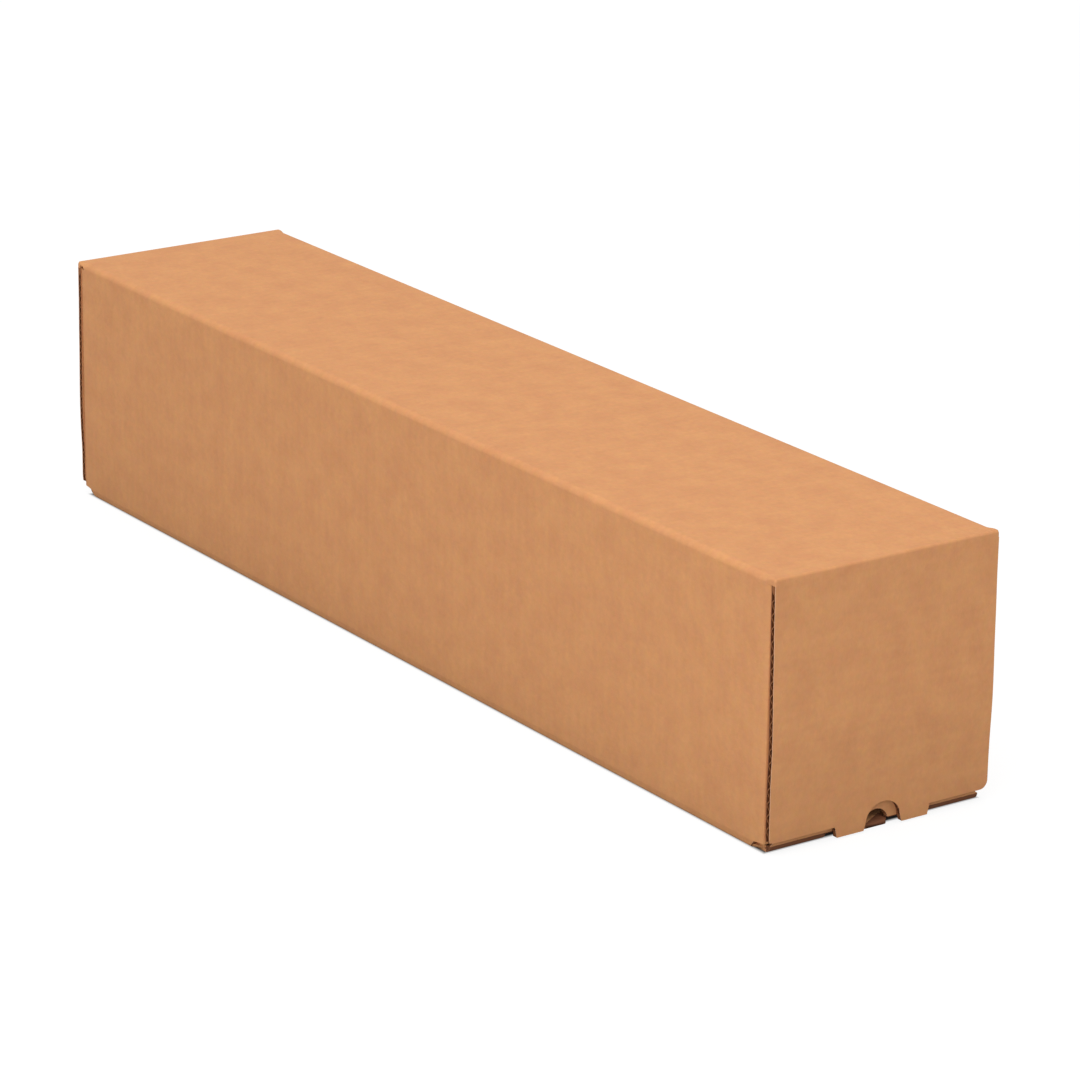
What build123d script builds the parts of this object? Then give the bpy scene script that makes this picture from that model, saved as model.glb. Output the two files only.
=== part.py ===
from build123d import *
from math import cos, radians, sin, sqrt, tan
import os

os.makedirs("parts", exist_ok=True)

# Square mailing tube for rolled posters, folded from one sheet of corrugated board.
# Millimetres. X runs along the tube with the front end at +X, and Z is up.
# The origin lies on the resting face, under the middle of the tube.

# Sheet, and the room inside
board = 3.0                   # thickness of the corrugated board
inside_length = 635.0         # between the dust flaps, at their creases
inside_width = 127.0
inside_height = 131.0
crease_inner_radius = 0.5     # the crushed inside of a fold

# Glue lap, inside the +Y wall
lap_height = 32.0
lap_setback = 16.0            # from the crease of a dust flap to the end of the lap
lap_edge_gap = 0.3            # from the resting face up to the raw edge of the +Y wall

# Dust flaps, hinged on the side walls
dust_length = 46.0
dust_lean = 10.0              # degrees past square, pushed in by the inner flap
dust_top_slot = 3.6           # from the top of the tube down to the flap
dust_low_slot = 7.5           # from the resting face up to the flap
dust_top_taper = 7.0          # degrees that the upper edge falls
dust_low_taper = 30.0         # degrees that the lower edge rises
dust_corner_radius = 4.0
foot_cut_length = 8.0         # slanted cut at the foot of a side wall, along the tube
foot_cut_start = 2.4          # height at which that cut starts

# Inner flaps, hinged on the bottom wall
inner_height = 60.0
inner_root_width = 125.0
inner_waist_width = 90.0
inner_waist_height = 17.0
inner_top_width = 84.0
inner_corner_radius = 6.0

# Slots for the tabs in the bottom crease, and the tongue between them
slot_depth = 8.0
slot_reach = 30.0             # from the middle of the tube to the far side of a slot
arch_radius = 7.7             # round cut that frees the tongue from the inner flap
arch_centre_height = 1.3
tongue_gap = 0.2              # between the tongue and the upper edges of the arch
tongue_corner_radius = 1.8

# Outer end flaps, hinged on the top wall
flap_gap = 0.8                # from the folded ends of the walls to the flap
flap_lean = 0.2               # degrees that a flap leans out from square
crease_gap = 0.2              # between the top wall and the flap, in the crease
flap_root_inset = 0.7         # from the side of the tube to the side of the flap
flap_taper = 1.0              # narrower by this on each side at the foot
flap_corner_radius = 4.5
shoulder_height = 6.5         # from the resting face up to the flap beside its tabs
tab_tip_height = 1.0          # from the resting face up to the tip of a tab
tab_reach = 29.2              # from the middle of the flap to the outside of a tab
tab_slant = 1.5               # a tab is narrower by this at its tip
notch_radius = 9.5            # thumb notch between the tabs
notch_centre_height = 4.2
notch_flare = 1.0             # the notch is wider by this on each side at the tips

# Worked out from the sizes above
outer_width = inside_width + 2 * board
outer_height = inside_height + 2 * board
half_width = outer_width / 2
crease_radius = board + crease_inner_radius
side_end = inside_length / 2 + board
wall_end = side_end - crease_radius * tan(radians(90 + dust_lean) / 2)
lap_end = side_end - lap_setback
lap_face = half_width - board
lap_fold_start = lap_face - 2 * crease_radius
inner_root_half = inner_root_width / 2
arch_half_width = sqrt(arch_radius**2 - (board - arch_centre_height) ** 2)
tongue_half_width = arch_half_width - tongue_gap
flap_face = side_end + flap_gap + board
flap_root_half = half_width - flap_root_inset
flap_foot_half = flap_root_half - flap_taper


def folded_strip(*corners):
    """Edge-on face of a board that is folded at the corners of its outside line."""
    with BuildSketch() as strip:
        with BuildLine():
            outside = FilletPolyline(*corners, radius=crease_radius)
            offset(outside, amount=board, side=Side.LEFT)
        make_face()
    return strip.sketch


# The walls run as one strip from the raw edge of the +Y wall to the glue lap
wall_strip = folded_strip(
    (half_width, lap_edge_gap),
    (half_width, outer_height),
    (-half_width, outer_height),
    (-half_width, 0),
    (lap_fold_start, 0),
)
lap_strip = folded_strip((lap_fold_start, 0), (lap_face, 0), (lap_face, lap_height))

with BuildPart() as walls:
    with BuildSketch(Plane.YZ):
        add(wall_strip)
    extrude(amount=wall_end, both=True)
    with BuildSketch(Plane.YZ):
        add(lap_strip)
    extrude(amount=lap_end, both=True)
    # Slanted cuts at the feet of the side walls
    with BuildSketch(Plane.XZ):
        with BuildLine():
            Polyline(
                (side_end - foot_cut_length, -board),
                (side_end - foot_cut_length, foot_cut_start),
                (side_end, dust_low_slot),
                (side_end, -board),
                close=True,
            )
        make_face()
        mirror(about=Plane.YZ)
    extrude(amount=outer_width, both=True, mode=Mode.SUBTRACT)

# A dust flap of the front end, with the side wall's last stretch and its crease
dust_reach = dust_length * cos(radians(dust_lean))
dust_crease = crease_radius - half_width
dust_span = dust_reach - crease_radius
dust_top = outer_height - dust_top_slot
dust_strip = folded_strip(
    (lap_end, -half_width),
    (side_end, -half_width),
    (side_end - dust_length * sin(radians(dust_lean)), dust_reach - half_width),
)

with BuildPart() as dust_flap:
    with BuildSketch():
        add(dust_strip)
    extrude(amount=outer_height)
    with BuildSketch(Plane.YZ):
        with BuildLine():
            Polyline(
                (-half_width, dust_low_slot),
                (dust_crease, dust_low_slot),
                (dust_crease + dust_span, dust_low_slot + dust_span * tan(radians(dust_low_taper))),
                (dust_crease + dust_span, dust_top - dust_span * tan(radians(dust_top_taper))),
                (dust_crease, dust_top),
                (-half_width, dust_top),
                close=True,
            )
        make_face()
        fillet(vertices().group_by(Axis.X)[-1], radius=dust_corner_radius)
    extrude(amount=side_end, mode=Mode.INTERSECT)

# The inner flap of the front end, with the bottom wall's last stretch and its crease
inner_strip = folded_strip((lap_end, 0), (side_end, 0), (side_end, inner_height))

with BuildPart() as inner_flap:
    with BuildSketch(Plane.XZ):
        add(inner_strip)
    extrude(amount=inner_root_half, both=True)
    with BuildSketch(Plane.YZ):
        with BuildLine():
            Polyline(
                (-inner_root_half, 0),
                (-inner_root_half, crease_radius),
                (-inner_waist_width / 2, inner_waist_height),
                (-inner_top_width / 2, inner_height),
                (inner_top_width / 2, inner_height),
                (inner_waist_width / 2, inner_waist_height),
                (inner_root_half, crease_radius),
                (inner_root_half, 0),
                close=True,
            )
        make_face()
        fillet(vertices().group_by(Axis.Y)[-1], radius=inner_corner_radius)
    extrude(amount=side_end, mode=Mode.INTERSECT)
    # Slots through the crease for the tabs
    with BuildSketch():
        with Locations((side_end, 0)):
            Rectangle(2 * slot_depth, 2 * slot_reach)
    extrude(amount=board, mode=Mode.SUBTRACT)
    # The tongue stays flat between the slots, and leaves an arch in the folded flap
    with BuildSketch(Plane.YZ.offset(side_end)):
        with Locations((0, arch_centre_height)):
            Circle(arch_radius)
    extrude(amount=-crease_radius, mode=Mode.SUBTRACT)
    with BuildSketch():
        with Locations((side_end - slot_depth, 0)):
            Rectangle(slot_depth, 2 * tongue_half_width, align=(Align.MIN, Align.CENTER))
        fillet(vertices().group_by(Axis.X)[-1], radius=tongue_corner_radius)
    extrude(amount=board)

# The top crease of the front end, parted along its bisector into lip and flap
flap_drop = outer_height - tab_tip_height
flap_foot = (flap_face + flap_drop * tan(radians(flap_lean)), tab_tip_height)
flap_strip = folded_strip(flap_foot, (flap_face, outer_height), (wall_end, outer_height))
crease_corner = Vector(flap_face, 0, outer_height)
half_fold = radians(90 + flap_lean) / 2
across_fold = Vector(sin(half_fold), 0, -cos(half_fold))

with BuildPart() as top_lip:
    with BuildSketch(Plane.XZ):
        add(flap_strip)
    extrude(amount=flap_root_half, both=True)
    split(
        bisect_by=Plane(crease_corner - across_fold * crease_gap / 2, z_dir=across_fold),
        keep=Keep.BOTTOM,
    )

with BuildPart() as front_end_flap:
    with BuildSketch(Plane.XZ):
        add(flap_strip)
    extrude(amount=flap_root_half, both=True)
    split(
        bisect_by=Plane(crease_corner + across_fold * crease_gap / 2, z_dir=across_fold),
        keep=Keep.TOP,
    )
    with BuildSketch(Plane.YZ):
        with BuildLine():
            Polyline(
                (-flap_root_half, outer_height),
                (-flap_foot_half, shoulder_height),
                (flap_foot_half, shoulder_height),
                (flap_root_half, outer_height),
                close=True,
            )
        make_face()
        fillet(vertices().group_by(Axis.Y)[0], radius=flap_corner_radius)
        # The tabs, and the thumb notch between them
        with BuildLine():
            Polyline(
                (-tab_reach, shoulder_height),
                (tab_slant - tab_reach, tab_tip_height),
                (tab_reach - tab_slant, tab_tip_height),
                (tab_reach, shoulder_height),
                close=True,
            )
        make_face()
        with BuildLine():
            Polyline(
                (-notch_radius, notch_centre_height),
                (-notch_radius - notch_flare, tab_tip_height),
                (notch_radius + notch_flare, tab_tip_height),
                (notch_radius, notch_centre_height),
                close=True,
            )
        make_face(mode=Mode.SUBTRACT)
        with Locations((0, notch_centre_height)):
            Circle(notch_radius, mode=Mode.SUBTRACT)
    extrude(amount=flap_face + outer_height, mode=Mode.INTERSECT)

front_end_flap.part.label = "front_end_flap"
export_step(front_end_flap.part, "parts/front_end_flap.step")

with BuildPart() as rear_end_flap:
    mirror(front_end_flap.part, about=Plane.YZ)

rear_end_flap.part.label = "rear_end_flap"
export_step(rear_end_flap.part, "parts/rear_end_flap.step")

# Both ends of the tube close alike
with BuildPart() as end_closure:
    add(dust_flap.part)
    mirror(dust_flap.part, about=Plane.XZ)
    add(inner_flap.part)
    add(top_lip.part)

# Walls, lap, dust flaps and inner flaps are one sheet
with BuildPart() as tube_body:
    add(walls.part)
    add(end_closure.part)
    mirror(end_closure.part, about=Plane.YZ)

tube_body.part.label = "tube_body"
export_step(tube_body.part, "parts/tube_body.step")
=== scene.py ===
import math

import bmesh
import bpy
from mathutils import Matrix, Vector


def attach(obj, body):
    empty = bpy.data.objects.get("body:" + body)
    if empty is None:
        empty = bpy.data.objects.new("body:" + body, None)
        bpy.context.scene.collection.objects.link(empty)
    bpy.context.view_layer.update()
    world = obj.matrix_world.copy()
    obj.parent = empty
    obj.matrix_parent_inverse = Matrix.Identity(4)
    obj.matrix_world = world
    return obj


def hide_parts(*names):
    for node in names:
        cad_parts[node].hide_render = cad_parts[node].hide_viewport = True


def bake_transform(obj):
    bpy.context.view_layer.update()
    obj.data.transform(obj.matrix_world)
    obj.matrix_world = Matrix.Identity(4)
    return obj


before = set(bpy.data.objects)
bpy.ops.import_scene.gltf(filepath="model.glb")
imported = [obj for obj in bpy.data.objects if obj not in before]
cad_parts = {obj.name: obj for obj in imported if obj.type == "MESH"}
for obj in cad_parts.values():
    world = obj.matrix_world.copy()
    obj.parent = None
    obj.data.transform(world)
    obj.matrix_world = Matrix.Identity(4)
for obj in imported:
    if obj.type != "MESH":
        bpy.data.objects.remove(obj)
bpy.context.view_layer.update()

MM = 0.001

# Sizes of the tube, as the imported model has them
BOARD = 3.0 * MM
HALF_WIDTH = 66.5 * MM
HEIGHT = 137.0 * MM
SIDE_END = 320.5 * MM          # outer side of a folded dust flap, at its crease
WALL_END = 316.33 * MM         # where a side wall starts to fold into its dust flap
FLAP_FACE = 324.3 * MM         # outer side of an end flap, at its crease
CREASE_RADIUS = 3.5 * MM
INNER_RADIUS = 0.5 * MM
FLAP_SLOPE = math.tan(math.radians(0.2))
FLAP_ROOT_HALF = 65.8 * MM     # half the width of an end flap at its crease
FLAP_TAPER = 1.0 * MM          # and how much less it is at its foot
FLAP_SHOULDER = 6.5 * MM       # the foot of an end flap beside its tabs
DUST_LEAN = math.radians(10.0)
DUST_TOP = 133.4 * MM
DUST_FOOT = 7.5 * MM
DUST_TOP_TAPER = math.radians(7.0)     # slants of a dust flap's upper and lower edge
DUST_LOW_TAPER = math.radians(30.0)
LAP_FACE = 63.5 * MM
LAP_TOP = 32.0 * MM
RAW_WALL_FOOT = 0.3 * MM       # raw edge of the +Y wall, above the resting face
FOOT_CUT = 312.5 * MM          # start of the slanted cut at the foot of a side wall
FOOT_CUT_TOP = 2.4 * MM

# The fold between the top and an end flap
FOLD_X = FLAP_FACE - CREASE_RADIUS + 0.012 * MM
FOLD_Z = HEIGHT - CREASE_RADIUS

# B-flute board: two liners with a waved paper between them
LINER = 0.4 * MM
FLUTE_PAPER_THICK = 0.35 * MM
FLUTE_PITCH = 6.6 * MM
FLUTE_HEIGHT = BOARD - 2 * LINER

# How the folds and the flaps differ from the solids
FOLD_DRAW = -0.75 * MM         # the crease of an end flap is drawn in by this
FOLD_ROUND = 1.5 * MM          # rounding of that crease
CORNER_ROUND = 1.2 * MM        # rounding of a closed corner at the top crease
CORNER_START = WALL_END - 0.3 * MM     # where a closed corner starts, along the tube
CORNER_INSET = 62.4 * MM       # and how far from the middle plane
OPEN_CORNER = (-1, -1)         # the one corner whose slot stays open in the photograph
OPEN_SLOT = 1.8 * MM           # height of that slot
DUST_FOOT_SEEN = 5.3 * MM      # foot of a dust flap, brought down
WALL_FOOT_SEEN = 4.6 * MM      # foot of a side wall where its cut starts, squared
FOOT_DRAW = 3.2 * MM           # a corner of the bottom is drawn in by this, in plan
FOOT_TOP = 2.3 * MM            # and this high
FOOT_ROUND = 0.6               # and this round in plan, from 0, square, to 1
FLAP_WIDE_FOLD = 66.2 * MM     # half the width of an end flap at its crease
FLAP_WIDE_FOOT = {-1: 66.0 * MM, 1: 65.5 * MM}     # and at its foot, left and right
FLAP_SQUARE = 0.75             # how far its left lower corner is squared, from 0 to 1
# Bow of an end flap out of its plane: heights, and shifts there, in mm
BOW_HEIGHTS = (21.0, 56.0, 91.0, 118.0)
BOW_SHIFTS = (-0.9, 0.15, -0.35, FOLD_DRAW / MM)
# Edges of the tabs and the notch along the foot: in the solids, and as cut, in mm
TAB_EDGES = ((-70.0, -70.0), (-29.6, -26.8), (-10.6, -9.6), (10.6, 13.4), (29.5, 30.1),
             (70.0, 70.0))


def linear(hex_colour):
    """Linear RGBA of an sRGB colour written in hex."""
    channels = [int(hex_colour[i:i + 2], 16) / 255 for i in (1, 3, 5)]
    return [c / 12.92 if c <= 0.04045 else ((c + 0.055) / 1.055) ** 2.4 for c in channels] + [1.0]


def add_node(tree, kind, settings=None, sockets=None):
    """Adds a node with its settings, and sets or links its input sockets."""
    made = tree.nodes.new(kind)
    for name, value in (settings or {}).items():
        setattr(made, name, value)
    for name, value in (sockets or {}).items():
        if isinstance(value, bpy.types.NodeSocket):
            tree.links.new(value, made.inputs[name])
        else:
            made.inputs[name].default_value = value
    return made


# Materials

def kraft_liner():
    """Unbleached kraft liner: matte brown paper with cloudy formation and a fine grain, and the
    flutes under it as faint bands. A raw edge shows the outer liner's cut painted pale as a
    highlight, the darker core, and the inner liner's cut painted dark as shade."""
    material = bpy.data.materials.new("kraft_liner")
    material.use_nodes = True
    tree = material.node_tree
    tree.nodes.clear()
    blank = add_node(tree, "ShaderNodeUVMap", {"uv_map": "blank"})
    place = add_node(tree, "ShaderNodeTexCoord")
    across = add_node(tree, "ShaderNodeSeparateXYZ", sockets={"Vector": blank.outputs["UV"]})

    # Cloudy formation of the paper, in patches of about 14 mm, and mottling of 2.5 mm
    clouds = add_node(tree, "ShaderNodeTexNoise", sockets={
        "Vector": place.outputs["Object"], "Scale": 1 / (14 * MM), "Detail": 3.0, "Roughness": 0.5})
    mottle = add_node(tree, "ShaderNodeTexNoise", sockets={
        "Vector": place.outputs["Object"], "Scale": 1 / (2.5 * MM), "Detail": 3.0,
        "Roughness": 0.7})

    # Single fibres are 0.04 mm wide, and are drawn 0.8 mm wide and 3 mm long so that they show
    fibre_place = add_node(tree, "ShaderNodeMapping", sockets={
        "Vector": blank.outputs["UV"], "Scale": (1 / (3.0 * MM), 1 / (0.8 * MM), 1.0)})
    fibres = add_node(tree, "ShaderNodeTexNoise", {"noise_dimensions": "2D"}, {
        "Vector": fibre_place.outputs["Vector"], "Scale": 1.0, "Detail": 2.0, "Roughness": 0.5,
        "Distortion": 1.2})

    # The flutes show through the liner as bands at their own pitch
    turns = add_node(tree, "ShaderNodeMath", {"operation": "MULTIPLY"}, {
        0: across.outputs["X"], 1: 2 * math.pi / FLUTE_PITCH})
    wave = add_node(tree, "ShaderNodeMath", {"operation": "SINE"}, {0: turns.outputs["Value"]})

    # Colour: each pattern lightens or darkens the paper a little
    tone = add_node(tree, "ShaderNodeValToRGB", sockets={"Fac": clouds.outputs["Fac"]})
    tone.color_ramp.elements[0].position = 0.30
    tone.color_ramp.elements[0].color = linear("#D19263")
    tone.color_ramp.elements[1].position = 0.70
    tone.color_ramp.elements[1].color = linear("#D89A67")
    shade = tone.outputs["Color"]
    for pattern, low, high in (
        (mottle.outputs["Fac"], 0.955, 1.045),
        (fibres.outputs["Fac"], 0.975, 1.025),
    ):
        amount = add_node(tree, "ShaderNodeMapRange", sockets={
            "Value": pattern, "From Min": 0.2, "From Max": 0.8, "To Min": low, "To Max": high})
        mixed = add_node(tree, "ShaderNodeVectorMath", {"operation": "SCALE"}, {
            0: shade, "Scale": amount.outputs["Result"]})
        shade = mixed.outputs["Vector"]
    banding = add_node(tree, "ShaderNodeMapRange", sockets={
        "Value": wave.outputs["Value"], "From Min": -1.0, "From Max": 1.0,
        "To Min": 0.993, "To Max": 1.007})
    banded = add_node(tree, "ShaderNodeVectorMath", {"operation": "SCALE"}, {
        0: shade, "Scale": banding.outputs["Result"]})

    # The paper's hue wanders a little between pink and ochre, in specks of about 3 mm
    specks = add_node(tree, "ShaderNodeTexNoise", sockets={
        "Vector": place.outputs["Object"], "Scale": 1 / (3.2 * MM), "Detail": 2.0})
    tint = add_node(tree, "ShaderNodeVectorMath", {"operation": "MULTIPLY_ADD"}, {
        0: specks.outputs["Color"], 1: (0.10, 0.15, 0.26), 2: (0.95, 0.925, 0.87)})
    tinted = add_node(tree, "ShaderNodeVectorMath", {"operation": "MULTIPLY"}, {
        0: banded.outputs["Vector"], 1: tint.outputs["Vector"]})

    # Raw edges: the outer liner's cut is painted pale, a painted highlight along the edge; the core
    # is darker; the inner liner's cut is painted darker still, as painted shade
    cut = add_node(tree, "ShaderNodeUVMap", {"uv_map": "cut"})
    cut_parts = add_node(tree, "ShaderNodeSeparateXYZ", sockets={"Vector": cut.outputs["UV"]})
    depth = add_node(tree, "ShaderNodeMath", {"operation": "DIVIDE"}, {
        0: cut_parts.outputs["Y"], 1: BOARD})
    edge = add_node(tree, "ShaderNodeValToRGB", sockets={"Fac": depth.outputs["Value"]})
    edge.color_ramp.interpolation = "CONSTANT"
    edge.color_ramp.elements[0].color = linear("#E2B08C")
    edge.color_ramp.elements[1].position = LINER / BOARD
    edge.color_ramp.elements[1].color = linear("#8E5A36")
    edge.color_ramp.elements.new(1 - LINER / BOARD).color = linear("#744630")
    paint = add_node(tree, "ShaderNodeMix", {"data_type": "RGBA"}, {
        "Factor": cut_parts.outputs["X"]})
    tree.links.new(tinted.outputs["Vector"], paint.inputs["A"])
    tree.links.new(edge.outputs["Color"], paint.inputs["B"])

    # Relief: the flutes stand 0.008 mm proud, and the paper's own grain 0.05 mm
    washboard = add_node(tree, "ShaderNodeBump", sockets={
        "Height": wave.outputs["Value"], "Distance": 0.008 * MM, "Strength": 1.0})
    grain = add_node(tree, "ShaderNodeBump", sockets={
        "Height": mottle.outputs["Fac"], "Distance": 0.05 * MM, "Strength": 1.0,
        "Normal": washboard.outputs["Normal"]})
    paper = add_node(tree, "ShaderNodeBsdfPrincipled", sockets={
        "Base Color": paint.outputs["Result"], "Roughness": 0.82, "IOR": 1.45,
        "Specular IOR Level": 0.25, "Normal": grain.outputs["Normal"]})
    add_node(tree, "ShaderNodeOutputMaterial", sockets={"Surface": paper.outputs["BSDF"]})
    return material


def fluting_paper():
    """Semi-chemical fluting paper, seen inside the raw edges: darker and rougher than the liner."""
    material = bpy.data.materials.new("fluting_paper")
    material.use_nodes = True
    tree = material.node_tree
    tree.nodes.clear()
    place = add_node(tree, "ShaderNodeTexCoord")
    fuzz = add_node(tree, "ShaderNodeTexNoise", sockets={
        "Vector": place.outputs["Object"], "Scale": 1 / (0.8 * MM), "Detail": 3.0})
    tone = add_node(tree, "ShaderNodeValToRGB", sockets={"Fac": fuzz.outputs["Fac"]})
    tone.color_ramp.elements[0].position = 0.35
    tone.color_ramp.elements[0].color = linear("#5A3018")
    tone.color_ramp.elements[1].position = 0.65
    tone.color_ramp.elements[1].color = linear("#764526")
    paper = add_node(tree, "ShaderNodeBsdfPrincipled", sockets={
        "Base Color": tone.outputs["Color"], "Roughness": 0.9, "IOR": 1.45,
        "Specular IOR Level": 0.2})
    add_node(tree, "ShaderNodeOutputMaterial", sockets={"Surface": paper.outputs["BSDF"]})
    return material


LINER_PAPER = kraft_liner()
FLUTE_PAPER = fluting_paper()


# The hollows of the fluted core, which open at the raw edges

def flute_hollows_tree():
    """Two rows of bell-shaped hollows, one on each side of the waved paper."""
    tree = bpy.data.node_groups.new("flute_hollows", "GeometryNodeTree")
    for name, kind in (
        ("Pitch", "NodeSocketFloat"),
        ("Core Height", "NodeSocketFloat"),
        ("Paper", "NodeSocketFloat"),
        ("Reach", "NodeSocketFloat"),
        ("Count", "NodeSocketInt"),
    ):
        tree.interface.new_socket(name=name, in_out="INPUT", socket_type=kind)
    tree.interface.new_socket(name="Geometry", in_out="OUTPUT", socket_type="NodeSocketGeometry")
    given = add_node(tree, "NodeGroupInput").outputs

    foot = add_node(tree, "ShaderNodeMath", {"operation": "MULTIPLY_ADD"}, {
        0: given["Paper"], 1: -2.0, 2: given["Pitch"]})
    half = add_node(tree, "ShaderNodeMath", {"operation": "MULTIPLY"}, {
        0: foot.outputs["Value"], 1: 0.5})
    minus_half = add_node(tree, "ShaderNodeMath", {"operation": "MULTIPLY"}, {
        0: foot.outputs["Value"], 1: -0.5})
    crest = add_node(tree, "ShaderNodeMath", {"operation": "SUBTRACT"}, {
        0: given["Core Height"], 1: given["Paper"]})
    left = add_node(tree, "ShaderNodeCombineXYZ", sockets={"X": minus_half.outputs["Value"]})
    right = add_node(tree, "ShaderNodeCombineXYZ", sockets={"X": half.outputs["Value"]})
    base = add_node(tree, "GeometryNodeCurvePrimitiveLine", sockets={
        "Start": left.outputs["Vector"], "End": right.outputs["Vector"]})
    points = add_node(tree, "GeometryNodeResampleCurve", sockets={
        "Curve": base.outputs["Curve"], "Count": 9})

    # The upper side of a hollow is one wave of a cosine
    position = add_node(tree, "GeometryNodeInputPosition")
    parts = add_node(tree, "ShaderNodeSeparateXYZ", sockets={
        "Vector": position.outputs["Position"]})
    share = add_node(tree, "ShaderNodeMath", {"operation": "DIVIDE"}, {
        0: parts.outputs["X"], 1: foot.outputs["Value"]})
    angle = add_node(tree, "ShaderNodeMath", {"operation": "MULTIPLY"}, {
        0: share.outputs["Value"], 1: 2 * math.pi})
    bell = add_node(tree, "ShaderNodeMath", {"operation": "COSINE"}, {0: angle.outputs["Value"]})
    lifted = add_node(tree, "ShaderNodeMath", {"operation": "MULTIPLY_ADD"}, {
        0: bell.outputs["Value"], 1: 0.5, 2: 0.5})
    rise = add_node(tree, "ShaderNodeMath", {"operation": "MULTIPLY"}, {
        0: lifted.outputs["Value"], 1: crest.outputs["Value"]})
    place = add_node(tree, "ShaderNodeCombineXYZ", sockets={
        "X": parts.outputs["X"], "Y": rise.outputs["Value"]})
    outline = add_node(tree, "GeometryNodeSetPosition", sockets={
        "Geometry": points.outputs["Curve"], "Position": place.outputs["Vector"]})
    closed = add_node(tree, "GeometryNodeSetSplineCyclic", sockets={
        "Geometry": outline.outputs["Geometry"], "Cyclic": True})
    face = add_node(tree, "GeometryNodeFillCurve", sockets={"Curve": closed.outputs["Geometry"]})
    along = add_node(tree, "ShaderNodeCombineXYZ", sockets={"Z": given["Reach"]})
    drawn = add_node(tree, "GeometryNodeExtrudeMesh", sockets={
        "Mesh": face.outputs["Mesh"], "Offset": along.outputs["Vector"], "Individual": False})
    back = add_node(tree, "GeometryNodeFlipFaces", sockets={"Mesh": face.outputs["Mesh"]})
    loose = add_node(tree, "GeometryNodeJoinGeometry")
    tree.links.new(drawn.outputs["Mesh"], loose.inputs["Geometry"])
    tree.links.new(back.outputs["Mesh"], loose.inputs["Geometry"])
    hollow = add_node(tree, "GeometryNodeMergeByDistance", sockets={
        "Geometry": loose.outputs["Geometry"], "Distance": 0.001 * MM})

    # One row stands on the inner liner, and the other hangs from the outer one
    step = add_node(tree, "ShaderNodeCombineXYZ", sockets={"X": given["Pitch"]})
    half_step = add_node(tree, "ShaderNodeMath", {"operation": "MULTIPLY"}, {
        0: given["Pitch"], 1: 0.5})
    hung = add_node(tree, "ShaderNodeCombineXYZ", sockets={
        "X": half_step.outputs["Value"], "Y": given["Core Height"]})
    row = add_node(tree, "GeometryNodeMeshLine", sockets={
        "Count": given["Count"], "Offset": step.outputs["Vector"]})
    hung_row = add_node(tree, "GeometryNodeMeshLine", sockets={
        "Count": given["Count"], "Start Location": hung.outputs["Vector"],
        "Offset": step.outputs["Vector"]})
    standing = add_node(tree, "GeometryNodeInstanceOnPoints", sockets={
        "Points": row.outputs["Mesh"], "Instance": hollow.outputs["Geometry"]})
    hanging = add_node(tree, "GeometryNodeInstanceOnPoints", sockets={
        "Points": hung_row.outputs["Mesh"], "Instance": hollow.outputs["Geometry"],
        "Rotation": (0.0, 0.0, math.pi)})
    both = add_node(tree, "GeometryNodeJoinGeometry")
    tree.links.new(standing.outputs["Instances"], both.inputs["Geometry"])
    tree.links.new(hanging.outputs["Instances"], both.inputs["Geometry"])
    real = add_node(tree, "GeometryNodeRealizeInstances", sockets={
        "Geometry": both.outputs["Geometry"]})
    painted = add_node(tree, "GeometryNodeSetMaterial", sockets={
        "Geometry": real.outputs["Geometry"], "Material": FLUTE_PAPER})
    add_node(tree, "NodeGroupOutput", sockets={"Geometry": painted.outputs["Geometry"]})
    return tree


HOLLOWS = flute_hollows_tree()


def evaluated_mesh(piece):
    """A plain mesh of the piece with its modifiers in it."""
    graph = bpy.context.evaluated_depsgraph_get()
    return bpy.data.meshes.new_from_object(piece.evaluated_get(graph), depsgraph=graph)


def new_piece(name, mesh):
    piece = bpy.data.objects.new(name, mesh)
    bpy.context.scene.collection.objects.link(piece)
    return piece


def hollow_row(start, along, through, into, count, reach):
    """One row of hollows: count along the edge, through the board's thickness, reaching into it."""
    carrier = new_piece("hollow_row", bpy.data.meshes.new("hollow_row"))
    maker = carrier.modifiers.new("hollows", "NODES")
    maker.node_group = HOLLOWS
    sizes = {"Pitch": FLUTE_PITCH, "Core Height": FLUTE_HEIGHT, "Paper": FLUTE_PAPER_THICK,
             "Reach": reach, "Count": count}
    for item in HOLLOWS.interface.items_tree:
        if item.name in sizes:
            maker[item.identifier] = sizes[item.name]
    mesh = evaluated_mesh(carrier)
    bpy.data.objects.remove(carrier)
    columns = Matrix((along, through, into)).transposed().to_4x4()
    mesh.transform(Matrix.Translation(start) @ columns)
    if columns.determinant() < 0:
        mesh.flip_normals()
    return mesh


def merged_rows(rows):
    """All rows of one node in one object, to cut with."""
    gathered = bmesh.new()
    for mesh in rows:
        gathered.from_mesh(mesh)
        bpy.data.meshes.remove(mesh)
    joined = bpy.data.meshes.new("hollows")
    gathered.to_mesh(joined)
    gathered.free()
    joined.materials.append(FLUTE_PAPER)
    return new_piece("hollows", joined)


def board_copy(node, name):
    """A closed copy of a node's mesh, with the liner's paper on it."""
    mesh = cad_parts[node].data.copy()
    mesh.name = name
    sheet = bmesh.new()
    sheet.from_mesh(mesh)
    bmesh.ops.remove_doubles(sheet, verts=sheet.verts, dist=0.001 * MM)
    sheet.to_mesh(mesh)
    sheet.free()
    mesh.materials.clear()
    mesh.materials.append(LINER_PAPER)
    return new_piece(name, mesh)


def carve(piece, cutter, painted=True):
    """Takes the cutter's volume away from the piece."""
    cut = piece.modifiers.new("cut", "BOOLEAN")
    cut.operation = "DIFFERENCE"
    cut.solver = "EXACT"
    cut.material_mode = "TRANSFER" if painted else "INDEX"
    cut.object = cutter
    mesh = evaluated_mesh(piece)
    piece.modifiers.clear()
    piece.data = mesh
    bpy.data.objects.remove(cutter)


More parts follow.
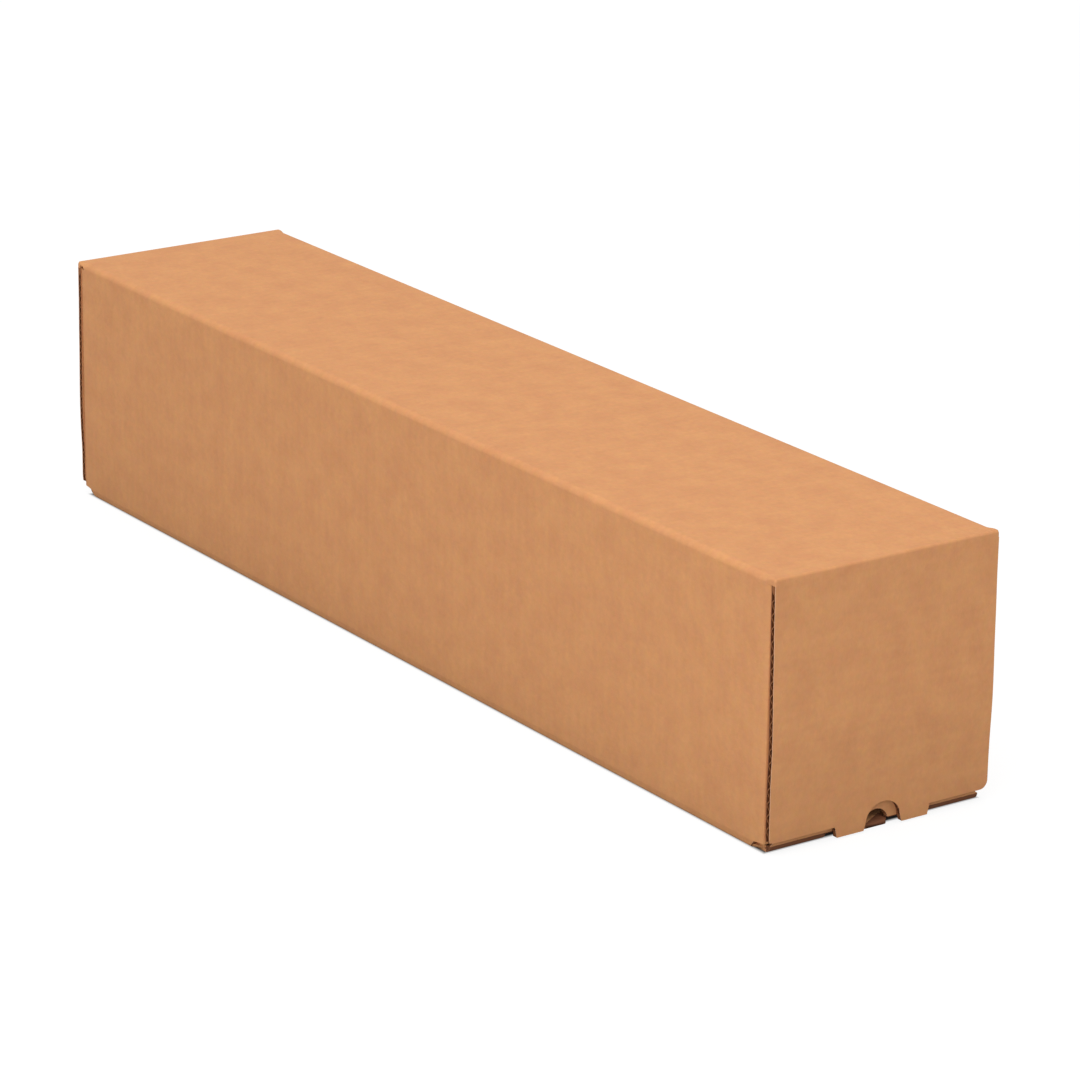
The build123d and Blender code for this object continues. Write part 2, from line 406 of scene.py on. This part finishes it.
def end_flap_rows(end):
    """Hollows of an end flap: its flutes lie across the tube."""
    first = HEIGHT - 9 * MM
    inner_face = FLAP_FACE - BOARD + (HEIGHT - first) * FLAP_SLOPE
    start = Vector((end * (inner_face + LINER), -HALF_WIDTH - 5 * MM, first))
    return [hollow_row(start, (end * FLAP_SLOPE, 0, -1), (end, 0, 0), (0, 1, 0), 19,
                       2 * HALF_WIDTH + 10 * MM)]


def dust_flap_rows(end, side):
    """Hollows in the two raw edges of a dust flap: its flutes stand upright."""
    lean = Vector((-end * math.sin(DUST_LEAN), -side * math.cos(DUST_LEAN), 0))
    through = Vector((-end * math.cos(DUST_LEAN), side * math.sin(DUST_LEAN), 0))
    past_crease = 8 * MM
    corner = Vector((end * SIDE_END, side * HALF_WIDTH, 0))
    start = corner + lean * past_crease + through * LINER
    inward = past_crease * math.cos(DUST_LEAN) - CREASE_RADIUS
    low_slope = math.tan(DUST_LOW_TAPER)
    top_slope = math.tan(DUST_TOP_TAPER)
    low = DUST_FOOT + inward * low_slope - 4.4 * MM
    top = DUST_TOP - inward * top_slope + 0.9 * MM
    rise = math.cos(DUST_LEAN)
    return [
        hollow_row(start + Vector((0, 0, low)), (lean.x, lean.y, rise * low_slope), through,
                   (0, 0, 1), 5, 18 * MM),
        hollow_row(start + Vector((0, 0, top)), (lean.x, lean.y, -rise * top_slope), through,
                   (0, 0, -1), 5, 14 * MM),
    ]


def tube_rows():
    """Hollows in the raw edges of the tube, its dust flaps and its inner flaps."""
    rows = [
        hollow_row((-309 * MM, HALF_WIDTH - LINER, -1 * MM), (1, 0, 0), (0, -1, 0), (0, 0, 1), 94,
                   16 * MM),
        hollow_row((-300 * MM, LAP_FACE - LINER, 33 * MM), (1, 0, 0), (0, -1, 0), (0, 0, -1), 91,
                   14 * MM),
    ]
    for end in (1, -1):
        rows.append(hollow_row((end * (SIDE_END - LINER), -46.5 * MM, 9 * MM), (0, 0, 1),
                               (-end, 0, 0), (0, 1, 0), 7, 93 * MM))
        for side in (1, -1):
            rows += dust_flap_rows(end, side)
    return rows


# Folds as the photograph shows them

def smooth_step(share):
    share = min(max(share, 0.0), 1.0)
    return share * share * (3 - 2 * share)


def bow(z):
    """How far an end flap is bowed out of its plane, at a height: in at its crease and foot."""
    z = z / MM
    if z <= BOW_HEIGHTS[0]:
        return BOW_SHIFTS[0] * MM
    for low, high, before, after in zip(BOW_HEIGHTS, BOW_HEIGHTS[1:], BOW_SHIFTS, BOW_SHIFTS[1:]):
        if z <= high:
            return (before + (after - before) * smooth_step((z - low) / (high - low))) * MM
    return BOW_SHIFTS[-1] * MM


def sharpen_dust_creases(mesh):
    """Folds the side walls into the dust flaps more sharply: the crease runs with the flutes."""
    tangent = SIDE_END - WALL_END
    turn = math.pi / 2 + DUST_LEAN
    for vertex in mesh.vertices:
        x, y, z = vertex.co
        away_x = abs(x) - WALL_END
        away_y = abs(y) - (HALF_WIDTH - CREASE_RADIUS)
        if abs(math.hypot(away_x, away_y) - CREASE_RADIUS) > 0.02 * MM:
            continue
        if away_x < 0.01 * MM or away_y < -0.7 * MM or not 4 * MM < z < 133.42 * MM:
            continue
        share = math.atan2(away_x, away_y) / turn
        if share <= 0.5:
            sharp = (WALL_END + tangent * 2 * share, HALF_WIDTH)
        else:
            along = tangent * (2 * share - 1)
            sharp = (SIDE_END - along * math.sin(DUST_LEAN),
                     HALF_WIDTH - along * math.cos(DUST_LEAN))
        blend = 0.5
        vertex.co.x = math.copysign(abs(x) + (sharp[0] - abs(x)) * blend, x)
        vertex.co.y = math.copysign(abs(y) + (sharp[1] - abs(y)) * blend, y)


def lower_feet(mesh):
    """Brings the feet of the dust flaps down, and squares the cut at the foot of a side wall."""
    slope = (DUST_FOOT - FOOT_CUT_TOP) / (SIDE_END - FOOT_CUT)
    for vertex in mesh.vertices:
        x, y, z = vertex.co
        if abs(y) < 61 * MM:
            continue
        if abs(x) > WALL_END - 0.1 * MM and abs(z - DUST_FOOT) < 0.05 * MM:
            vertex.co.z = DUST_FOOT_SEEN
        elif FOOT_CUT - 0.05 * MM < abs(x) < WALL_END + 0.1 * MM and z < 4.9 * MM:
            if abs(z - FOOT_CUT_TOP - (abs(x) - FOOT_CUT) * slope) < 0.05 * MM:
                along = (abs(x) - FOOT_CUT) / (WALL_END - FOOT_CUT)
                vertex.co.z = WALL_FOOT_SEEN + along * (DUST_FOOT_SEEN - WALL_FOOT_SEEN)
                flush = HALF_WIDTH if abs(y) > 65 * MM else LAP_FACE
                vertex.co.y = math.copysign(flush, y)
            elif abs(abs(x) - FOOT_CUT) < 0.05 * MM and abs(y) > 62.45 * MM:
                vertex.co.x = math.copysign(FOOT_CUT - CREASE_RADIUS * (1 - z / WALL_FOOT_SEEN), x)


def end_cutter(end):
    """What is taken from the tube at an end: half of its top crease, and the corners that close."""
    half = [(FOLD_X, CORNER_INSET), (CORNER_START, CORNER_INSET), (CORNER_START, 70 * MM),
            (330 * MM, 70 * MM)]
    plan = [(x, -y) for x, y in half[::-1]] + half
    return prism("end_cutter", [(end * x, y) for x, y in plan], FOLD_Z - 0.05 * MM, 140 * MM)


def closed_piece(name, shape):
    """Makes a piece of board of a closed shape."""
    bmesh.ops.recalc_face_normals(shape, faces=shape.faces)
    mesh = bpy.data.meshes.new(name)
    shape.to_mesh(mesh)
    shape.free()
    mesh.materials.append(LINER_PAPER)
    return new_piece(name, mesh)


def prism(name, plan, low, high):
    """A closed upright prism on a plan."""
    shape = bmesh.new()
    base = shape.faces.new([shape.verts.new((x, y, low)) for x, y in plan])
    top = bmesh.ops.extrude_face_region(shape, geom=[base])
    raised = [item for item in top["geom"] if isinstance(item, bmesh.types.BMVert)]
    bmesh.ops.translate(shape, verts=raised, vec=(0, 0, high - low))
    return closed_piece(name, shape)


def banded_loft(name, outer, inner):
    """A closed shell through sections, each an outer line and an inner line of as many points."""
    rows = len(outer)
    count = len(outer[0])
    shape = bmesh.new()
    outside = [[shape.verts.new(point) for point in line] for line in outer]
    inside = [[shape.verts.new(point) for point in line] for line in inner]
    for k in range(rows - 1):
        for i in range(count - 1):
            shape.faces.new((outside[k][i], outside[k][i + 1],
                             outside[k + 1][i + 1], outside[k + 1][i]))
            shape.faces.new((inside[k][i], inside[k + 1][i],
                             inside[k + 1][i + 1], inside[k][i + 1]))
        for i in (0, count - 1):
            shape.faces.new((outside[k][i], outside[k + 1][i], inside[k + 1][i], inside[k][i]))
    for k in (0, rows - 1):
        for i in range(count - 1):
            shape.faces.new((outside[k][i], outside[k][i + 1], inside[k][i + 1], inside[k][i]))
    return closed_piece(name, shape)


def top_crease(end, name):
    """The fold between the top and an end flap, over the board's full thickness."""
    stations = []
    for side in (-1, 1):
        rounds = []
        for i in range(7):
            angle = math.radians(90) * i / 6
            rounds.append((HALF_WIDTH - CORNER_ROUND * (1 - math.cos(angle)),
                           CREASE_RADIUS - CORNER_ROUND * (1 - math.sin(angle))))
        rounds.append((60 * MM, CREASE_RADIUS))
        found = [(side * reach, radius) for reach, radius in rounds]
        stations += found if side < 0 else found[::-1]

    def line(y, radius, tight):
        """The fold's profile: flat, round by tight, and flat again."""
        flat = radius - tight
        profile = [(flat * i / 6, radius) for i in range(6)]
        for i in range(13):
            turn = math.radians(90) * i / 12
            profile.append((flat + tight * math.sin(turn), flat + tight * math.cos(turn)))
        profile += [(radius, flat * (5 - i) / 6) for i in range(6)]
        drawn = 1 + FOLD_DRAW / CREASE_RADIUS
        return [(end * (FOLD_X + along * drawn), y, FOLD_Z + up) for along, up in profile]

    outer = [line(y, radius, FOLD_ROUND) for y, radius in stations]
    inner = [line(y, INNER_RADIUS, INNER_RADIUS * 0.9) for y, radius in stations]
    return banded_loft(name, outer, inner)


def lip_corner(end, side, name):
    """A closed corner of the top, from the rounded long crease to the tighter end crease."""
    outer = []
    inner = []
    for k in range(9):
        share = k / 8
        x = CORNER_START + (FOLD_X - CORNER_START) * share
        radius = CREASE_RADIUS + (CORNER_ROUND - CREASE_RADIUS) * smooth_step(share)
        line = [(CORNER_INSET, HEIGHT)]
        for i in range(9):
            angle = math.radians(90) * i / 8
            line.append((HALF_WIDTH - radius * (1 - math.sin(angle)),
                         HEIGHT - radius * (1 - math.cos(angle))))
        low = FOLD_Z - 0.02 * MM
        line.append((HALF_WIDTH, low))
        # At one corner a dark slot stays open under the edge
        if (end, side) == OPEN_CORNER:
            low += OPEN_SLOT * smooth_step(share / 0.35)
        outer.append([(end * x, side * y, max(z, low)) for y, z in line])
        steps = len(line) - 1
        inner.append([(end * x, side * (CORNER_INSET + (LAP_FACE - CORNER_INSET) * i / steps),
                       max(HEIGHT - BOARD - 0.52 * MM * i / steps, low))
                      for i in range(steps + 1)])
    return banded_loft(name, outer, inner)


def foot_corner(end, side, name):
    """The corner of the bottom wall under a side wall's foot: it draws in towards the end."""
    shrink = 0.03 * MM
    centre_x = SIDE_END - CREASE_RADIUS
    centre_y = HALF_WIDTH - CREASE_RADIUS
    path_start = 306 * MM
    draw_start = 307 * MM
    path = [(path_start + 2 * MM * i, 0.0) for i in range(6)] + [(centre_x, 0.0)]
    path += [(centre_x, math.radians(90) * i / 12) for i in range(1, 13)]
    outer = []
    inner = []
    for x, turn in path:
        drawn_in = FOOT_DRAW * smooth_step((x - draw_start) / (centre_x - draw_start))
        across = FOOT_ROUND * math.cos(turn) + (1 - FOOT_ROUND) * min(1.0, 2 * math.cos(turn))
        ahead = FOOT_ROUND * math.sin(turn) + (1 - FOOT_ROUND) * min(1.0, 2 * math.sin(turn))
        outer_line = []
        inner_line = []
        for i in range(9):
            z = FOOT_TOP * i / 8
            out = math.sqrt(max(CREASE_RADIUS ** 2 - (CREASE_RADIUS - z) ** 2, 0.0)) - shrink
            out = max(out, 0.3 * MM)
            outer_line.append((end * (x + out * ahead),
                               side * (centre_y - drawn_in + out * across), z + shrink))
            back = 0.1 * MM
            inner_line.append((end * (x + back * ahead),
                               side * (centre_y - drawn_in + back * across), z + shrink))
        outer.append(outer_line)
        inner.append(inner_line)
    return banded_loft(name, outer, inner)


def bend_flap(mesh, end):
    """Bows an end flap along its height, widens it, and moves its tabs and its left corner."""
    sheet = bmesh.new()
    sheet.from_mesh(mesh)
    height = 4 * MM
    while height < FOLD_Z:
        everything = sheet.verts[:] + sheet.edges[:] + sheet.faces[:]
        bmesh.ops.bisect_plane(sheet, geom=everything, plane_co=(0, 0, height), plane_no=(0, 0, 1))
        height += 4.3 * MM
    for vertex in sheet.verts:
        vertex.co.x += end * bow(vertex.co.z)
        down = min((HEIGHT - vertex.co.z) / (HEIGHT - FLAP_SHOULDER), 1.0)
        cut_half = FLAP_ROOT_HALF - FLAP_TAPER * down
        foot_half = FLAP_WIDE_FOOT[1 if vertex.co.y > 0 else -1]
        seen_half = FLAP_WIDE_FOLD + (foot_half - FLAP_WIDE_FOLD) * down
        vertex.co.y *= seen_half / cut_half
        shift_tabs(vertex.co)
        square_corner(vertex.co)
    sheet.to_mesh(mesh)
    sheet.free()


def shift_tabs(point):
    """Moves the tabs and the thumb notch to where they were cut, a little off the middle."""
    share = 1 - smooth_step((point.z - 24 * MM) / (16 * MM))
    y = point.y / MM
    for (before, seen_before), (after, seen_after) in zip(TAB_EDGES, TAB_EDGES[1:]):
        if before <= y <= after:
            moved = seen_before + (seen_after - seen_before) * (y - before) / (after - before)
            point.y += (moved - y) * MM * share
            return


def square_corner(point):
    """Makes the left lower corner of an end flap nearly square."""
    round_y = -61.3 * MM
    round_z = 11 * MM
    out = round_y - point.y
    down = round_z - point.z
    if out <= 0 or down <= 0:
        return
    spread = 1 + FLAP_SQUARE * (math.hypot(out, down) / max(out, down) - 1)
    point.y = round_y - out * spread
    point.z = round_z - down * spread


# The flat blank as a UV map, in metres: U across the flutes and V along them

def blank_place(point, panel):
    """Where a point of a folded panel lies on the flat blank."""
    end = 1 if point.x > 0 else -1
    if panel == "flap" or panel == "top":
        return point.x + end * (HEIGHT - point.z), HEIGHT + HALF_WIDTH - point.y
    if panel == "dust":
        return end * (SIDE_END + HALF_WIDTH - abs(point.y)), point.z
    if panel == "inner" or panel == "bottom":
        return point.x + end * point.z, 3 * HEIGHT + HALF_WIDTH + point.y
    if panel == "left":
        return point.x, 3 * HEIGHT - point.z
    return point.x, point.z


def board_depth(point, panel):
    """How deep a point lies in the board, from its outer side."""
    if panel == "flap":
        return FLAP_FACE + (HEIGHT - point.z) * FLAP_SLOPE + bow(point.z) - abs(point.x)
    if panel == "top":
        return HEIGHT - point.z
    if panel == "bottom":
        return point.z
    if panel == "inner":
        return SIDE_END - abs(point.x)
    if panel == "dust":
        return ((SIDE_END - abs(point.x)) * math.cos(DUST_LEAN)
                + (abs(point.y) - HALF_WIDTH) * math.sin(DUST_LEAN))
    if panel == "lap":
        return LAP_FACE - abs(point.y)
    return HALF_WIDTH - abs(point.y)


def through_board(panel, centre):
    """The directions through a panel's thickness: one, or two in a fold."""
    along = Vector((1, 0, 0))
    sideways = Vector((0, 1, 0))
    upright = Vector((0, 0, 1))
    if panel == "flap":
        return [along]
    if panel == "inner":
        return [along, upright] if centre.z < 3.6 * MM else [along]
    if panel == "top":
        return [upright]
    if panel == "bottom":
        return [upright, along] if abs(centre.x) > 316.9 * MM else [upright]
    if panel == "dust":
        leaning = Vector((math.copysign(math.cos(DUST_LEAN), centre.x),
                          -math.copysign(math.sin(DUST_LEAN), centre.y), 0))
        return [leaning, sideways] if abs(centre.y) > 62.3 * MM else [leaning]
    return [sideways]


def panel_at(centre, normal):
    """Names the panel that a face of the tube belongs to."""
    if (308.8 * MM < abs(centre.x) < WALL_END and 0.1 * MM < centre.z < 5.4 * MM
            and abs(centre.y) > 63.2 * MM and abs(normal.y) < 0.3):
        return "left" if centre.y < 0 else "right"
    if abs(centre.x) > 305 * MM and abs(normal.x) > 0.5 or abs(centre.x) > 317.4 * MM:
        if centre.z > 133.5 * MM:
            return "top"
        if centre.z < 3.5 * MM:
            return "bottom"
        if abs(centre.x) > 317.3 * MM and centre.z < 60.5 * MM and abs(centre.y) < 62.6 * MM:
            return "inner"
        return "dust"
    if abs(centre.z - RAW_WALL_FOOT) < 0.1 * MM and centre.y > LAP_FACE - 0.1 * MM:
        return "right"
    if abs(centre.z - LAP_TOP) < 0.1 * MM:
        return "lap"
    if abs(normal.z) > abs(normal.y):
        return "top" if centre.z > HEIGHT / 2 else "bottom"
    return "left" if centre.y < 0 else "right"


def lay_out(piece, panel=None, edges=True):
    """Gives the piece its place on the flat blank as one UV map, and in the board as another."""
    mesh = piece.data
    for layer in list(mesh.uv_layers):
        mesh.uv_layers.remove(layer)
    mesh.uv_layers.new(name="blank")
    mesh.uv_layers.new(name="cut")
    blank = mesh.uv_layers["blank"].data
    cut = mesh.uv_layers["cut"].data
    for face in mesh.polygons:
        here = panel or panel_at(face.center, face.normal)
        raw = edges and all(
            abs(face.normal.dot(way)) < 0.5 for way in through_board(here, face.center))
        # Painted shade: the bottom creases at the ends are painted as dark as the inner liner's
        # cut, as the shade under the end flaps
        painted_crease_shade = abs(face.center.x) > 317.2 * MM and face.center.z < 3.55 * MM and here != "flap"
        for loop in face.loop_indices:
            point = mesh.vertices[mesh.loops[loop].vertex_index].co
            blank[loop].uv = blank_place(point, here)
            if painted_crease_shade:
                cut[loop].uv = (0.9, BOARD)
            else:
                cut[loop].uv = (1.0, board_depth(point, here)) if raw else (0.0, 0.0)


def finish_shading(piece):
    """Soft folds between flat panels: smooth faces, with the flat ones' normals kept."""
    mesh = piece.data
    mesh.polygons.foreach_set("use_smooth", [True] * len(mesh.polygons))
    mesh.set_sharp_from_angle(angle=math.radians(40.0))
    weighted = piece.modifiers.new("weighted", "WEIGHTED_NORMAL")
    weighted.keep_sharp = True
    weighted.weight = 100
    shaded = evaluated_mesh(piece)
    piece.modifiers.clear()
    piece.data = shaded


def set_up(piece, node, body):
    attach(piece, body)
    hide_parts(node)


# The tube: walls, lap, dust flaps and inner flaps in one sheet
tube = board_copy("tube_body", "tube_sheet")
sharpen_dust_creases(tube.data)
lower_feet(tube.data)
for end in (1, -1):
    carve(tube, end_cutter(end), painted=False)
carve(tube, merged_rows(tube_rows()))
lay_out(tube)
finish_shading(tube)
set_up(tube, "tube_body", "tube")

for end, place in ((1, "front"), (-1, "rear")):
    for side, hand in ((-1, "left"), (1, "right")):
        corner = lip_corner(end, side, f"{place}_{hand}_top_corner")
        lay_out(corner, edges=False)
        finish_shading(corner)
        set_up(corner, "tube_body", "tube")
        foot = foot_corner(end, side, f"{place}_{hand}_foot_corner")
        lay_out(foot, "bottom", edges=False)
        finish_shading(foot)
        set_up(foot, "tube_body", "tube")

# The end flaps, and the folds that join them to the top
for end, node, body in ((1, "front_end_flap", "front_flap"), (-1, "rear_end_flap", "rear_flap")):
    flap = board_copy(node, node + "_sheet")
    above_fold = [(end * x, y) for x, y in (
        (310 * MM, -70 * MM), (330 * MM, -70 * MM), (330 * MM, 70 * MM), (310 * MM, 70 * MM))]
    carve(flap, prism("above_fold", above_fold, FOLD_Z, 140 * MM), painted=False)
    carve(flap, merged_rows(end_flap_rows(end)))
    bend_flap(flap.data, end)
    lay_out(flap, "flap")
    finish_shading(flap)
    set_up(flap, node, body)

    fold = top_crease(end, node + "_fold")
    lay_out(fold, "flap", edges=False)
    finish_shading(fold)
    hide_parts(node)
    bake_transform(fold)


# Floor, light and camera

def seen_directly(tree):
    """1 for what the camera sees, also in a mirror or through glass, and 0 for bounced light."""
    rays = add_node(tree, "ShaderNodeLightPath")
    seen = add_node(tree, "ShaderNodeMath", {"operation": "MAXIMUM"}, {
        0: rays.outputs["Is Camera Ray"], 1: rays.outputs["Is Glossy Ray"]})
    direct = add_node(tree, "ShaderNodeMath", {"operation": "MAXIMUM"}, {
        0: seen.outputs["Value"], 1: rays.outputs["Is Transmission Ray"]})
    return direct.outputs["Value"]


def floor_paint():
    """Matt white paint. The camera sees it as white, with the object's shadow on it, and dark right
    under the object, where no light comes. For the light it throws back onto the object, it is
    painted darker near the object, as painted shade."""
    material = bpy.data.materials.new("matt_white_paint")
    material.use_nodes = True
    tree = material.node_tree
    tree.nodes.clear()

    # Distance past the edges of the resting face
    place = add_node(tree, "ShaderNodeTexCoord")
    parts = add_node(tree, "ShaderNodeSeparateXYZ", sockets={"Vector": place.outputs["Object"]})
    past = []
    for axis, half in (("X", SIDE_END - CREASE_RADIUS), ("Y", HALF_WIDTH - CREASE_RADIUS)):
        size = add_node(tree, "ShaderNodeMath", {"operation": "ABSOLUTE"}, {0: parts.outputs[axis]})
        past.append(add_node(tree, "ShaderNodeMath", {"operation": "SUBTRACT"}, {
            0: size.outputs["Value"], 1: half}))
    away = add_node(tree, "ShaderNodeMath", {"operation": "MAXIMUM"}, {
        0: past[0].outputs["Value"], 1: past[1].outputs["Value"]})
    glow = add_node(tree, "ShaderNodeMapRange", sockets={
        "Value": away.outputs["Value"], "From Min": 0.0, "From Max": 2.5 * MM,
        "To Min": 0.0, "To Max": 0.88})
    # Painted shade: the light the floor bounces onto the object is darker within 90 mm of its
    # resting face
    painted_bounce_shade = add_node(tree, "ShaderNodeMapRange", sockets={
        "Value": away.outputs["Value"], "From Min": 0.0, "From Max": 90 * MM,
        "To Min": 0.06, "To Max": 0.45})

    paint = add_node(tree, "ShaderNodeBsdfDiffuse", sockets={"Color": painted_bounce_shade.outputs["Result"]})
    faint = add_node(tree, "ShaderNodeBsdfDiffuse", sockets={"Color": (0.16, 0.16, 0.16, 1.0)})
    white = add_node(tree, "ShaderNodeEmission", sockets={
        "Color": (1.0, 1.0, 1.0, 1.0), "Strength": glow.outputs["Result"]})
    lit = add_node(tree, "ShaderNodeAddShader")
    tree.links.new(faint.outputs["BSDF"], lit.inputs[0])
    tree.links.new(white.outputs["Emission"], lit.inputs[1])
    mixed = add_node(tree, "ShaderNodeMixShader", sockets={"Fac": seen_directly(tree)})
    tree.links.new(paint.outputs["BSDF"], mixed.inputs[1])
    tree.links.new(lit.outputs["Shader"], mixed.inputs[2])
    add_node(tree, "ShaderNodeOutputMaterial", sockets={"Surface": mixed.outputs["Shader"]})
    return material


floor_mesh = bpy.data.meshes.new("floor")
reach = 8.0
floor_mesh.from_pydata(
    [(-reach, -reach, 0), (reach, -reach, 0), (reach, reach, 0), (-reach, reach, 0)],
    [], [(0, 1, 2, 3)])
floor_mesh.materials.append(floor_paint())
new_piece("floor", floor_mesh)

world = bpy.data.worlds.new("studio")
bpy.context.scene.world = world
world.use_nodes = True
sky = world.node_tree
sky.nodes.clear()
dome = add_node(sky, "ShaderNodeBackground", sockets={
    "Color": (1.0, 1.0, 1.0, 1.0), "Strength": 0.70})
backdrop = add_node(sky, "ShaderNodeBackground", sockets={
    "Color": (1.0, 1.0, 1.0, 1.0), "Strength": 1.0})
sky_mix = add_node(sky, "ShaderNodeMixShader", sockets={"Fac": seen_directly(sky)})
sky.links.new(dome.outputs["Background"], sky_mix.inputs[1])
sky.links.new(backdrop.outputs["Background"], sky_mix.inputs[2])
add_node(sky, "ShaderNodeOutputWorld", sockets={"Surface": sky_mix.outputs["Shader"]})


def softbox(name, place, target, size, power):
    lamp = bpy.data.lights.new(name, "AREA")
    lamp.shape = "SQUARE"
    lamp.size = size
    lamp.energy = power
    holder = bpy.data.objects.new(name, lamp)
    bpy.context.scene.collection.objects.link(holder)
    holder.location = place
    holder.rotation_euler = (Vector(target) - Vector(place)).to_track_quat("-Z", "Y").to_euler()


softbox("overhead_softbox", (0.3, -0.7, 2.6), (0, 0, 0.1), 2.0, 25.2)
softbox("front_left_softbox", (2.1, -2.2, 0.8), (0, 0, 0.07), 2.0, 34.0)

camera_data = bpy.data.cameras.new("camera")
camera_data.sensor_width = 36.0
camera_data.lens = 155.5
camera = bpy.data.objects.new("camera", camera_data)
bpy.context.scene.collection.objects.link(camera)
camera_place = Vector((1.9088, -1.3036, 0.8360))
forward = Vector((-0.77666, 0.54182, -0.32130)).normalized()
camera_roll = math.radians(0.75)
camera.matrix_world = (
    Matrix.Translation(camera_place)
    @ forward.to_track_quat("-Z", "Y").to_matrix().to_4x4()
    @ Matrix.Rotation(camera_roll, 4, "Z")
)
bpy.context.scene.camera = camera
bpy.context.scene.view_settings.view_transform = "Standard"
